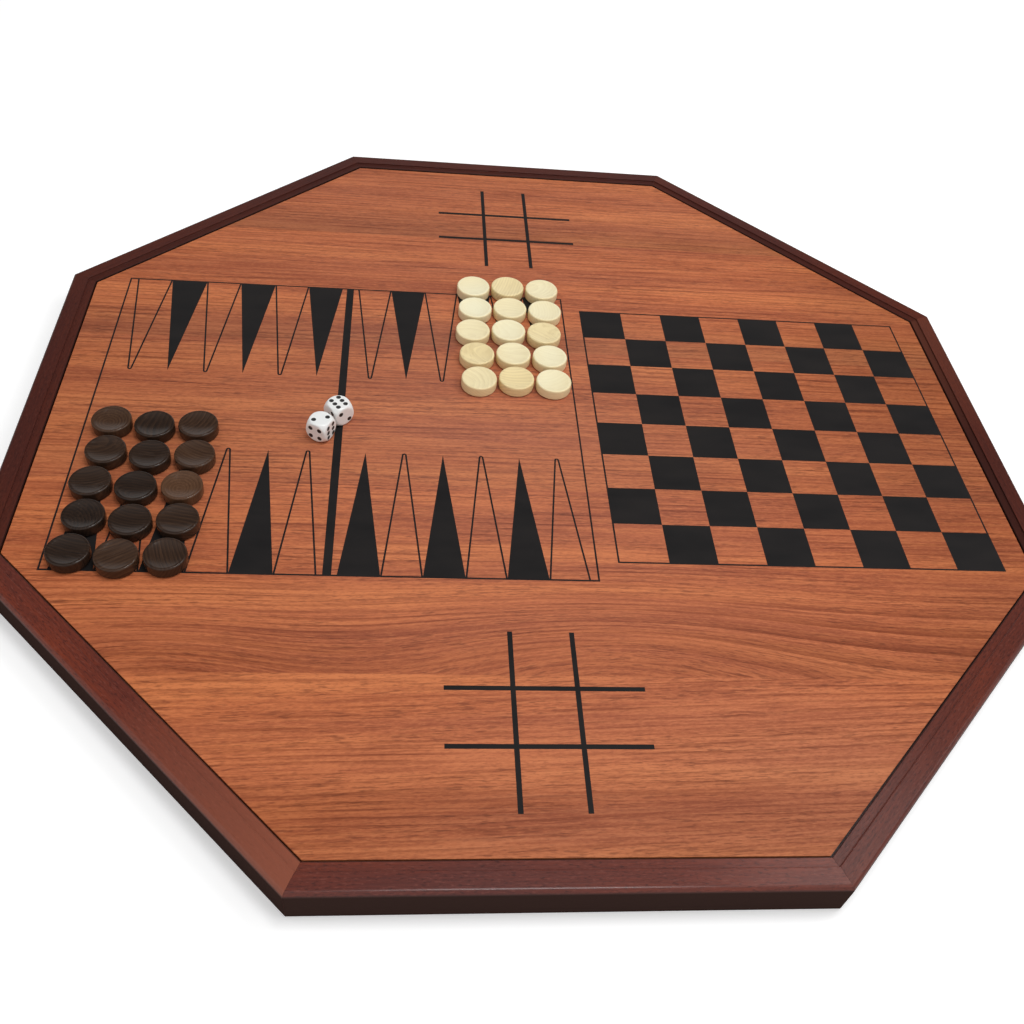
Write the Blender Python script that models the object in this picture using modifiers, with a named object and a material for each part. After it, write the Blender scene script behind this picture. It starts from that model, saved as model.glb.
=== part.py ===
"""Octagonal crokinole board lying games side up, with its checkers and dice. Metres, +Z up.

The origin is on the table, under the middle of the board. +X is right and +Y is away from the player.
"""

import math

import bmesh
import bpy
from mathutils import Matrix, Vector

# Rails: eight mitred lengths of stained moulding, rabbeted for the games panel
RAIL_NAMES = (
    "rail_right",
    "rail_far_right",
    "rail_far",
    "rail_far_left",
    "rail_left",
    "rail_near_left",
    "rail_near",
    "rail_near_right",
)
INNER_APOTHEM = 0.340
RAIL_WIDTH = 0.0185
RAIL_HEIGHT = 0.0261
RAIL_LIP = 0.0018
INNER_BAND_LIP = 0.0005
INNER_BAND_WIDTH = 0.006
LEDGE_WIDTH = 0.007
OUTER_EDGE_RADIUS = 0.003
FOOT_CHAMFER = 0.0008
EDGE_ARC_STEPS = 4

# Games panel, dropped into the rails' rabbet with a narrow seam all round
PANEL_THICKNESS = 0.005
PANEL_SEAM = 0.0009

# Corner keys, upright splines hidden across the mitres
KEY_LENGTH = 0.014
KEY_THICKNESS = 0.003
KEY_WALL = 0.004

# Crokinole playing field on the underside, with its ditch, twenty hole and pegs
FIELD_THICKNESS = 0.006
DITCH_WIDTH = 0.033
FIELD_EDGE_CHAMFER = 0.0007
FIELD_SEGMENTS = 72
HOLE_PLAY = 0.0043
HOLE_SEGMENTS = 32
PEG_COUNT = 8
PEG_CIRCLE_RADIUS = 0.0923
PEG_DIAMETER = 0.009
PEG_SHANK_DIAMETER = 0.005
PEG_END_RADIUS = 0.0012
PEG_TABLE_CLEARANCE = 0.0012
PEG_SEGMENTS = 12

# Checkers: turned wooden discs, hollowed a little on both faces
CHECKER_DIAMETER = 0.027
CHECKER_THICKNESS = 0.0082
CHECKER_RIM = 0.0024
CHECKER_EDGE = 0.0011
CHECKER_DISH = 0.0008
CHECKER_SEGMENTS = 18

# The two sets stand in piles of three columns and five rows, each row and column pushed about a little
LIGHT_PILE_X = -0.0110
LIGHT_PILE_Y = 0.0924
LIGHT_COLUMN_GAP = 0.0014
LIGHT_ROW_GAP = 0.0020
LIGHT_ROW_SHIFTS = (0.0, 0.0006, -0.0020, 0.0004, 0.0012)
LIGHT_COLUMN_SHIFTS = (-0.0006, 0.0011, -0.0005)
DARK_PILE_FROM_CORNER_X = 0.0451
DARK_PILE_FROM_CORNER_Y = -0.0042
DARK_COLUMN_GAP = 0.0023
DARK_ROW_GAP = 0.0025
DARK_ROW_SHIFTS = (0.0005, 0.0023, -0.0015, 0.0004, -0.0026)
DARK_COLUMN_SHIFTS = (0.0017, -0.0017, 0.0)
PILE_COLUMNS = 3
PILE_ROWS = 5

# Dice: cubes turned down to a ball at their corners, with drilled pips
DIE_SIZE = 0.016
DIE_BALL_DIAMETER = 0.0222
DIE_BALL_SEGMENTS = 24
PIP_DIAMETER = 0.0029
PIP_DEPTH = 0.0004
PIP_OFFSET = 0.0035
PIP_SEGMENTS = 8
DIE_FROM_PILE_X = 0.0840
DIE_FROM_PILE_Y = 0.0010
DICE_GAP = 0.0047
DICE_BEARING = 56.9
FRONT_DIE_TURN = -27.7
BACK_DIE_TURN = -51.2
FRONT_DIE_FACES = {"+x": 6, "-x": 1, "+y": 3, "-y": 4, "+z": 2, "-z": 5}
BACK_DIE_FACES = {"+x": 2, "-x": 5, "+y": 4, "-y": 3, "+z": 6, "-z": 1}

# Clearances
SEAT_GAP = 0.0003
MITRE_GAP = 0.0003

# Sizes that follow from the ones above
SIDES = len(RAIL_NAMES)
HALF_TURN = math.pi / SIDES
OUTER_APOTHEM = INNER_APOTHEM + RAIL_WIDTH
LEDGE_APOTHEM = INNER_APOTHEM - LEDGE_WIDTH
PANEL_TOP = RAIL_HEIGHT - RAIL_LIP
PANEL_UNDERSIDE = PANEL_TOP - PANEL_THICKNESS
PANEL_APOTHEM = INNER_APOTHEM - PANEL_SEAM
LEDGE_TOP = PANEL_UNDERSIDE - SEAT_GAP
KEY_HEIGHT = LEDGE_TOP - 2 * KEY_WALL
FIELD_TOP = PANEL_UNDERSIDE - SEAT_GAP
FIELD_FACE = FIELD_TOP - FIELD_THICKNESS
FIELD_RADIUS = LEDGE_APOTHEM - DITCH_WIDTH
HOLE_DIAMETER = CHECKER_DIAMETER + HOLE_PLAY
LOOSE_PIECE_SEAT = PANEL_TOP + SEAT_GAP


def clear_scene():
    """Remove whatever the file holds before the model is built."""
    for thing in list(bpy.data.objects):
        bpy.data.objects.remove(thing)


def new_collection(name):
    """Make a collection in the scene."""
    collection = bpy.data.collections.new(name)
    bpy.context.scene.collection.children.link(collection)
    return collection


def finish_material(name, colour, roughness):
    """A plain material with the piece's colour and gloss."""
    material = bpy.data.materials.new(name)
    material.use_nodes = True
    shader = material.node_tree.nodes["Principled BSDF"]
    shader.inputs["Base Color"].default_value = (*colour, 1.0)
    shader.inputs["Roughness"].default_value = roughness
    shader.inputs["Metallic"].default_value = 0.0
    return material


def place(name, mesh, material, location=(0.0, 0.0, 0.0), turn=0.0):
    """Link one named piece, turned about its own upright axis."""
    piece = bpy.data.objects.new(name, mesh)
    if not mesh.materials:
        mesh.materials.append(material)
    piece.location = location
    piece.rotation_euler.z = turn
    board.objects.link(piece)
    return piece


def place_cutter(name, mesh, location=(0.0, 0.0, 0.0), turn=0.0):
    """Link a cutting shape, which is no piece of the board."""
    cutter = bpy.data.objects.new(name, mesh)
    cutter.location = location
    cutter.rotation_euler.z = turn
    cutter.hide_render = True
    cutter.display_type = "WIRE"
    cutters.objects.link(cutter)
    return cutter


def combine(piece, cutter, operation="DIFFERENCE"):
    """Cut a piece with a cutter, or keep what both share."""
    boolean = piece.modifiers.new(operation.title(), "BOOLEAN")
    boolean.operation = operation
    boolean.object = cutter


def mesh_from(bm, name):
    """Turn edited geometry into a mesh, smooth on its round faces."""
    mesh = bpy.data.meshes.new(name)
    bm.to_mesh(mesh)
    bm.free()
    mesh.shade_smooth()
    mesh.set_sharp_from_angle(angle=math.radians(30))
    return mesh


def drum(bm, radius, bottom, top, segments, centre=(0.0, 0.0)):
    """Add an upright cylinder between two heights."""
    middle = Matrix.Translation((*centre, (bottom + top) / 2))
    bmesh.ops.create_cone(
        bm,
        cap_ends=True,
        segments=segments,
        radius1=radius,
        radius2=radius,
        depth=top - bottom,
        matrix=middle,
    )


def turned(name, profile, segments, material, location):
    """A turned piece: its profile runs from the top of its axis, down the outside, to the bottom."""
    mesh = bpy.data.meshes.new(name)
    points = [(radius, 0.0, height) for radius, height in profile]
    edges = [(i, i + 1) for i in range(len(points) - 1)]
    mesh.from_pydata(points, edges, [])
    piece = place(name, mesh, material, location)
    lathe = piece.modifiers.new("Lathe", "SCREW")
    lathe.steps = segments
    lathe.render_steps = segments
    lathe.use_merge_vertices = True
    lathe.merge_threshold = 0.00001
    lathe.use_smooth_shade = False
    return piece


def arc(centre, radius, start, end):
    """Points along an arc in a section, with its angles in degrees."""
    points = []
    for step in range(EDGE_ARC_STEPS + 1):
        angle = math.radians(start + (end - start) * step / EDGE_ARC_STEPS)
        points.append((centre[0] + radius * math.cos(angle), centre[1] + radius * math.sin(angle)))
    return points


def rail_section():
    """The rail's section: distance from the middle of the board, and height."""
    band_top = PANEL_TOP + INNER_BAND_LIP
    outer_centre = (OUTER_APOTHEM - OUTER_EDGE_RADIUS, RAIL_HEIGHT - OUTER_EDGE_RADIUS)
    return [
        (OUTER_APOTHEM - FOOT_CHAMFER, 0.0),
        (OUTER_APOTHEM, FOOT_CHAMFER),
        *arc(outer_centre, OUTER_EDGE_RADIUS, 0, 90),
        (INNER_APOTHEM + INNER_BAND_WIDTH, RAIL_HEIGHT),
        (INNER_APOTHEM + INNER_BAND_WIDTH, band_top),
        (INNER_APOTHEM, band_top),
        (INNER_APOTHEM, LEDGE_TOP),
        (LEDGE_APOTHEM, LEDGE_TOP),
        (LEDGE_APOTHEM, FOOT_CHAMFER),
        (LEDGE_APOTHEM + FOOT_CHAMFER, 0.0),
    ]


def moulding_mesh():
    """A straight run of rail moulding, longer than a rail, lying across +X."""
    outline = bpy.data.curves.new("rail_section", "CURVE")
    outline.dimensions = "2D"
    outline.fill_mode = "BOTH"
    outline.extrude = OUTER_APOTHEM * math.tan(HALF_TURN) + RAIL_WIDTH
    section = rail_section()
    spline = outline.splines.new("POLY")
    spline.points.add(len(section) - 1)
    spline.use_cyclic_u = True
    for point, (out, up) in zip(spline.points, section):
        point.co = (out, up, 0.0, 1.0)
    run = place_cutter("rail_section", outline)
    graph = bpy.context.evaluated_depsgraph_get()
    mesh = bpy.data.meshes.new_from_object(run.evaluated_get(graph))
    mesh.transform(Matrix.Rotation(math.radians(90), 4, "X"))
    bpy.data.objects.remove(run)
    return mesh


def rail_mesh():
    """One rail: a run of moulding sawn to a mitre at both ends."""
    bm = bmesh.new()
    bm.from_mesh(moulding_mesh())
    bmesh.ops.remove_doubles(bm, verts=bm.verts, dist=0.000001)
    for hand in (1, -1):
        outward = Vector((-math.sin(HALF_TURN), hand * math.cos(HALF_TURN), 0.0))
        bmesh.ops.bisect_plane(
            bm,
            geom=bm.verts[:] + bm.edges[:] + bm.faces[:],
            plane_co=-outward * MITRE_GAP / 2,
            plane_no=outward,
            clear_outer=True,
        )
        sawn = [edge for edge in bm.edges if edge.is_boundary]
        bmesh.ops.holes_fill(bm, edges=sawn, sides=0)
    bmesh.ops.recalc_face_normals(bm, faces=bm.faces)
    return mesh_from(bm, "rail")


def key_boxes(clearance):
    """One mesh for each corner key, grown by a clearance all round."""
    meshes = []
    radius = (LEDGE_APOTHEM + OUTER_APOTHEM) / 2 / math.cos(HALF_TURN)
    size = Vector((KEY_THICKNESS, KEY_LENGTH, KEY_HEIGHT)) + Vector((2, 2, 2)) * clearance
    for corner in range(SIDES):
        turn = Matrix.Rotation((2 * corner + 1) * HALF_TURN, 4, "Z")
        middle = Matrix.Translation((radius, 0.0, LEDGE_TOP / 2))
        bm = bmesh.new()
        bmesh.ops.create_cube(bm, size=1.0, matrix=turn @ middle @ Matrix.Diagonal((*size, 1.0)))
        meshes.append(mesh_from(bm, "corner_key"))
    return meshes


def joined(meshes, name):
    """Several separate shapes as one mesh, for a cutter."""
    bm = bmesh.new()
    for mesh in meshes:
        bm.from_mesh(mesh)
    return mesh_from(bm, name)


def build_frame(wood, key_wood):
    """The eight rails and the keys across their mitres."""
    slots = place_cutter("key_slots", joined(key_boxes(SEAT_GAP), "key_slots"))
    mesh = rail_mesh()
    for side, name in enumerate(RAIL_NAMES):
        rail = place(name, mesh.copy(), wood, turn=2 * side * HALF_TURN)
        combine(rail, slots)
    for corner, key in enumerate(key_boxes(0.0), start=1):
        place(f"corner_key_{corner}", key, key_wood)


def build_panel(laminate):
    """The games panel, an octagon that lies on the ledge of the rails' rabbet."""
    bm = bmesh.new()
    drum(bm, PANEL_APOTHEM / math.cos(HALF_TURN), PANEL_UNDERSIDE, PANEL_TOP, SIDES)
    bmesh.ops.rotate(bm, verts=bm.verts, matrix=Matrix.Rotation(HALF_TURN, 3, "Z"))
    place("games_panel", mesh_from(bm, "games_panel"), laminate)


def peg_places():
    """The centres of the pegs round the fifteen circle."""
    for peg in range(PEG_COUNT):
        angle = (2 * peg + 1) * math.pi / PEG_COUNT
        yield PEG_CIRCLE_RADIUS * math.cos(angle), PEG_CIRCLE_RADIUS * math.sin(angle)


def build_field(plywood):
    """The round crokinole board on the underside, drilled for the twenty hole and the pegs."""
    bm = bmesh.new()
    drum(bm, FIELD_RADIUS, FIELD_FACE, FIELD_TOP, FIELD_SEGMENTS)
    field = place("playing_field", mesh_from(bm, "playing_field"), plywood)
    edge = field.modifiers.new("Eased edge", "BEVEL")
    edge.width = FIELD_EDGE_CHAMFER
    edge.segments = 1
    drills = bmesh.new()
    below = FIELD_FACE - FIELD_THICKNESS
    above = FIELD_TOP + FIELD_THICKNESS
    drum(drills, HOLE_DIAMETER / 2, below, above, HOLE_SEGMENTS)
    for centre in peg_places():
        drum(drills, PEG_SHANK_DIAMETER / 2 + SEAT_GAP, below, above, PEG_SEGMENTS, centre)
    combine(field, place_cutter("field_drills", mesh_from(drills, "field_drills")))


def build_pegs(sleeve):
    """Pegs that stand down from the playing field, their shanks in its holes."""
    shank = PEG_SHANK_DIAMETER / 2
    body = PEG_DIAMETER / 2
    shoulder = FIELD_FACE - SEAT_GAP
    profile = [
        (0.0, FIELD_TOP - SEAT_GAP),
        (shank, FIELD_TOP - SEAT_GAP),
        (shank, shoulder),
        (body, shoulder),
        (body, PEG_TABLE_CLEARANCE + PEG_END_RADIUS),
        (body - PEG_END_RADIUS, PEG_TABLE_CLEARANCE),
        (0.0, PEG_TABLE_CLEARANCE),
    ]
    for number, (x, y) in enumerate(peg_places(), start=1):
        turned(f"peg_{number}", profile, PEG_SEGMENTS, sleeve, (x, y, 0.0))


def checker_profile():
    """A checker's section: a dished face, a raised rim with eased edges, and the same below."""
    radius = CHECKER_DIAMETER / 2
    top = CHECKER_THICKNESS
    return [
        (0.0, top - CHECKER_DISH),
        (radius - CHECKER_RIM, top),
        (radius - CHECKER_EDGE, top),
        (radius, top - CHECKER_EDGE),
        (radius, CHECKER_EDGE),
        (radius - CHECKER_EDGE, 0.0),
        (radius - CHECKER_RIM, 0.0),
        (0.0, CHECKER_DISH),
    ]


def pile_places(near_left, column_gap, row_gap, row_shifts, column_shifts):
    """Centres of a pile's checkers, row by row from the far side, left to right."""
    across = CHECKER_DIAMETER + column_gap
    back = CHECKER_DIAMETER + row_gap
    for row in range(PILE_ROWS):
        for column in range(PILE_COLUMNS):
            x = near_left[0] + column * across + row_shifts[row]
            y = near_left[1] + (PILE_ROWS - 1 - row) * back + column_shifts[column]
            yield x, y


def build_pile(prefix, wood, places):
    """Set one colour's checkers down on the panel."""
    for number, (x, y) in enumerate(places, start=1):
        name = f"{prefix}_checker_{number:02d}"
        turned(name, checker_profile(), CHECKER_SEGMENTS, wood, (x, y, LOOSE_PIECE_SEAT))


def light_corner():
    """The near left checker of the light pile, whose middle is placed from the board's middle."""
    across = CHECKER_DIAMETER + LIGHT_COLUMN_GAP
    back = CHECKER_DIAMETER + LIGHT_ROW_GAP
    x = LIGHT_PILE_X - across * (PILE_COLUMNS - 1) / 2
    y = LIGHT_PILE_Y - back * (PILE_ROWS - 1) / 2
    return x, y


def dark_corner():
    """The near left checker of the dark pile, placed from the board's left inner corner."""
    corner_y = -INNER_APOTHEM * math.tan(HALF_TURN)
    return -INNER_APOTHEM + DARK_PILE_FROM_CORNER_X, corner_y + DARK_PILE_FROM_CORNER_Y


# For each face of a die: its outward direction, then the two directions its pips are set out along
DIE_SIDES = {
    "+x": ((1, 0, 0), (0, -1, 0), (0, 0, 1)),
    "-x": ((-1, 0, 0), (0, -1, 0), (0, 0, 1)),
    "+y": ((0, 1, 0), (1, 0, 0), (0, 0, 1)),
    "-y": ((0, -1, 0), (1, 0, 0), (0, 0, 1)),
    "+z": ((0, 0, 1), (0, 1, 0), (1, 0, 0)),
    "-z": ((0, 0, -1), (0, 1, 0), (1, 0, 0)),
}


def pip_spots(count):
    """Where a face's pips go, in steps of the pip offset."""
    spots = []
    if count % 2:
        spots.append((0, 0))
    if count >= 2:
        spots += [(-1, -1), (1, 1)]
    if count >= 4:
        spots += [(-1, 1), (1, -1)]
    if count == 6:
        spots += [(-1, 0), (1, 0)]
    return spots


def pip_drill(faces):
    """One cutter with a shallow round bit for every pip of a die."""
    bm = bmesh.new()
    for side, count in faces.items():
        out, along, up = (Vector(direction) for direction in DIE_SIDES[side])
        tilt = Vector((0.0, 0.0, 1.0)).rotation_difference(out).to_matrix().to_4x4()
        for a, b in pip_spots(count):
            middle = out * DIE_SIZE / 2 + (along * a + up * b) * PIP_OFFSET
            bmesh.ops.create_cone(
                bm,
                cap_ends=True,
                segments=PIP_SEGMENTS,
                radius1=PIP_DIAMETER / 2,
                radius2=PIP_DIAMETER / 2,
                depth=2 * PIP_DEPTH,
                matrix=Matrix.Translation(middle) @ tilt,
            )
    return mesh_from(bm, "pip_drill")


def build_die(name, ivory, faces, centre, turn):
    """A die: a cube kept inside a ball, with its pips drilled."""
    location = (*centre, LOOSE_PIECE_SEAT + DIE_SIZE / 2)
    cube = bmesh.new()
    bmesh.ops.create_cube(cube, size=DIE_SIZE)
    die = place(name, mesh_from(cube, name), ivory, location, turn)
    ball = bmesh.new()
    bmesh.ops.create_uvsphere(
        ball,
        u_segments=DIE_BALL_SEGMENTS,
        v_segments=DIE_BALL_SEGMENTS // 2,
        radius=DIE_BALL_DIAMETER / 2,
    )
    ball_cutter = place_cutter(f"{name}_ball", mesh_from(ball, f"{name}_ball"), location, turn)
    combine(die, ball_cutter, "INTERSECT")
    combine(die, place_cutter(f"{name}_pips", pip_drill(faces), location, turn))


def build_dice(ivory, pile_end):
    """The two dice, thrown to the right of the dark pile's far right checker."""
    front = Vector((pile_end[0] + DIE_FROM_PILE_X, pile_end[1] + DIE_FROM_PILE_Y))
    bearing = math.radians(DICE_BEARING)
    back = front + Vector((math.cos(bearing), math.sin(bearing))) * (DIE_SIZE + DICE_GAP)
    build_die("die_front", ivory, FRONT_DIE_FACES, front, math.radians(FRONT_DIE_TURN))
    build_die("die_back", ivory, BACK_DIE_FACES, back, math.radians(BACK_DIE_TURN))


clear_scene()
board = new_collection("crokinole_board")
cutters = new_collection("cutters")

build_frame(
    finish_material("mahogany_stain", (0.105, 0.032, 0.022), 0.35),
    finish_material("key_plywood", (0.55, 0.40, 0.24), 0.7),
)
build_panel(finish_material("cherry_laminate", (0.45, 0.14, 0.065), 0.4))
build_field(finish_material("field_plywood", (0.60, 0.38, 0.20), 0.4))
build_pegs(finish_material("peg_sleeve", (0.05, 0.045, 0.04), 0.6))
build_pile(
    "light",
    finish_material("light_wood", (0.78, 0.66, 0.42), 0.4),
    pile_places(light_corner(), LIGHT_COLUMN_GAP, LIGHT_ROW_GAP, LIGHT_ROW_SHIFTS, LIGHT_COLUMN_SHIFTS),
)
dark_places = list(
    pile_places(dark_corner(), DARK_COLUMN_GAP, DARK_ROW_GAP, DARK_ROW_SHIFTS, DARK_COLUMN_SHIFTS)
)
build_pile("dark", finish_material("dark_wood", (0.045, 0.027, 0.018), 0.35), dark_places)
build_dice(finish_material("dice_ivory", (0.85, 0.85, 0.83), 0.3), dark_places[PILE_COLUMNS - 1])
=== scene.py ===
import math
import random

import bmesh
import bpy
import numpy as np
from mathutils import Euler, Matrix, Vector


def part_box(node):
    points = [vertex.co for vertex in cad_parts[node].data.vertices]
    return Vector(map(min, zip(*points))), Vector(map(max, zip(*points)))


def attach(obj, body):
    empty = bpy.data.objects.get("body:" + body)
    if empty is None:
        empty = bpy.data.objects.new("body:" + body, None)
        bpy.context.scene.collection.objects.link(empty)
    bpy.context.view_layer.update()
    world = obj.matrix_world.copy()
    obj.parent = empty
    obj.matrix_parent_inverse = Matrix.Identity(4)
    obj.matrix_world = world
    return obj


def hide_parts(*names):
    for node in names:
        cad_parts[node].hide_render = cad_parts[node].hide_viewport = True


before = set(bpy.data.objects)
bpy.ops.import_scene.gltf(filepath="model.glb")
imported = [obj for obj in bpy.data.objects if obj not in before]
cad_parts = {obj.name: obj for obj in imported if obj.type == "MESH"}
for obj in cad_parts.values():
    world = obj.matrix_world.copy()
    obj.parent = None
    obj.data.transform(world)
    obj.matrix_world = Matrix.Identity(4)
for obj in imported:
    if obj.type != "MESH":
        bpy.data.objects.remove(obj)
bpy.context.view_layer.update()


# Games panel. The board's middle is an octagon of thin panel faced with printed cherry laminate, whose
# grain runs from left to right in several leaves laid edge to edge. It drops into the rails' rabbet.
def add_node(tree, kind, **settings):
    """Add a node and set its properties."""
    node = tree.nodes.new(kind)
    for name, value in settings.items():
        setattr(node, name, value)
    return node


def feed(tree, socket, value):
    """Give a socket a number, a colour or another node's output."""
    if isinstance(value, bpy.types.NodeSocket):
        tree.links.new(value, socket)
    else:
        socket.default_value = value


def arithmetic(tree, operation, *values):
    """A math node on numbers or sockets."""
    node = add_node(tree, "ShaderNodeMath", operation=operation)
    for socket, value in zip(node.inputs, values):
        feed(tree, socket, value)
    return node.outputs[0]


def stretched(tree, vector, sizes, shift=(0.0, 0.0, 0.0)):
    """A vector times one size for each direction, moved by a shift."""
    node = add_node(tree, "ShaderNodeVectorMath", operation="MULTIPLY_ADD")
    feed(tree, node.inputs[0], vector)
    feed(tree, node.inputs[1], sizes)
    feed(tree, node.inputs[2], shift)
    return node.outputs[0]


def noise(tree, vector, scale=1.0, detail=2.0, roughness=0.5):
    """A smooth random value between about 0.2 and 0.8."""
    node = add_node(tree, "ShaderNodeTexNoise")
    feed(tree, node.inputs["Vector"], vector)
    feed(tree, node.inputs["Scale"], scale)
    feed(tree, node.inputs["Detail"], detail)
    feed(tree, node.inputs["Roughness"], roughness)
    return node.outputs[0]


def ranged(tree, value, low, high, to_low=0.0, to_high=1.0, smooth=False):
    """Spread a value between two limits onto another range."""
    node = add_node(tree, "ShaderNodeMapRange", interpolation_type="SMOOTHSTEP" if smooth else "LINEAR")
    for socket, number in zip(node.inputs, (value, low, high, to_low, to_high)):
        feed(tree, socket, number)
    return node.outputs[0]


def blended(tree, share, first, second, mode="MIX"):
    """Mix two colours."""
    node = add_node(tree, "ShaderNodeMix", data_type="RGBA", blend_type=mode)
    feed(tree, node.inputs["Factor"], share)
    feed(tree, node.inputs[6], first)
    feed(tree, node.inputs[7], second)
    return node.outputs[2]


def ramp(tree, value, stops):
    """Turn a value into a colour through a few stops."""
    node = add_node(tree, "ShaderNodeValToRGB")
    feed(tree, node.inputs[0], value)
    bar = node.color_ramp
    while len(bar.elements) < len(stops):
        bar.elements.new(1.0)
    for element, (place, colour) in zip(bar.elements, stops):
        element.position = place
        element.color = (*colour, 1.0)
    return node.outputs[0]


def new_finish(name, roughness, specular):
    """A material with one Principled shader of even gloss."""
    material = bpy.data.materials.new(name)
    material.use_nodes = True
    tree = material.node_tree
    shader = tree.nodes["Principled BSDF"]
    shader.inputs["Roughness"].default_value = roughness
    shader.inputs["Specular IOR Level"].default_value = specular
    return material, tree, shader


def raise_grain(tree, shader, height, depth):
    """Let a height field tilt the surface."""
    bump = add_node(tree, "ShaderNodeBump")
    bump.inputs["Strength"].default_value = 1.0
    feed(tree, bump.inputs["Distance"], depth)
    feed(tree, bump.inputs["Height"], height)
    feed(tree, shader.inputs["Normal"], bump.outputs[0])


def timber_figure():
    """Node group for sawn timber: growth rings, fine streaks, open pores and slow changes of tone."""
    tree = bpy.data.node_groups.new("timber_figure", "ShaderNodeTree")
    for name, kind in (
        ("Grain", "NodeSocketVector"),
        ("Ring spacing", "NodeSocketFloat"),
        ("Ring wander", "NodeSocketFloat"),
    ):
        tree.interface.new_socket(name, in_out="INPUT", socket_type=kind)
    for name in ("Rings", "Streaks", "Pores", "Tone"):
        tree.interface.new_socket(name, in_out="OUTPUT", socket_type="NodeSocketFloat")
    given = add_node(tree, "NodeGroupInput")
    made = add_node(tree, "NodeGroupOutput")
    grain = given.outputs["Grain"]
    parts = add_node(tree, "ShaderNodeSeparateXYZ")
    feed(tree, parts.inputs[0], grain)

    slow = noise(tree, stretched(tree, grain, (1.8, 24.0, 24.0)), detail=4.0, roughness=0.5)
    swing = arithmetic(tree, "SUBTRACT", slow, 0.5)
    drift = arithmetic(tree, "MULTIPLY", swing, given.outputs["Ring wander"])
    even = arithmetic(tree, "DIVIDE", parts.outputs["Y"], given.outputs["Ring spacing"])
    feed(tree, made.inputs["Rings"], arithmetic(tree, "FRACT", arithmetic(tree, "ADD", even, drift)))

    fine = noise(tree, stretched(tree, grain, (14.0, 420.0, 420.0)), detail=3.0, roughness=0.65)
    feed(tree, made.inputs["Streaks"], ranged(tree, fine, 0.40, 0.62))

    dashes = noise(tree, stretched(tree, grain, (100.0, 1000.0, 1000.0)), detail=2.0)
    crowd = noise(tree, stretched(tree, grain, (7.0, 95.0, 95.0)), detail=1.0)
    sparse = ranged(tree, crowd, 0.34, 0.58, 0.15, 1.0, smooth=True)
    pores = arithmetic(tree, "MULTIPLY", ranged(tree, dashes, 0.53, 0.66, smooth=True), sparse)
    feed(tree, made.inputs["Pores"], pores)

    feed(tree, made.inputs["Tone"], noise(tree, stretched(tree, grain, (2.2, 16.0, 16.0)), detail=2.0))
    return tree


def place_figure(tree, grain, spacing, wander):
    """Use the timber group in a material and return its outputs."""
    node = add_node(tree, "ShaderNodeGroup", node_tree=figure)
    feed(tree, node.inputs["Grain"], grain)
    feed(tree, node.inputs["Ring spacing"], spacing)
    feed(tree, node.inputs["Ring wander"], wander)
    return node.outputs


def arch(tree, place, centre, reach, height):
    """A hump that fades from its centre: how far an arch lifts the grain, or how strong a shade is."""
    scale = (1.0 / reach[0], 1.0 / reach[1], 0.0)
    shift = (-centre[0] / reach[0], -centre[1] / reach[1], 0.0)
    length = add_node(tree, "ShaderNodeVectorMath", operation="LENGTH")
    feed(tree, length.inputs[0], stretched(tree, place, scale, shift))
    square = arithmetic(tree, "MULTIPLY", length.outputs["Value"], length.outputs["Value"])
    hump = arithmetic(tree, "EXPONENT", arithmetic(tree, "MULTIPLY", square, -1.0))
    return arithmetic(tree, "MULTIPLY", hump, height)


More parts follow.
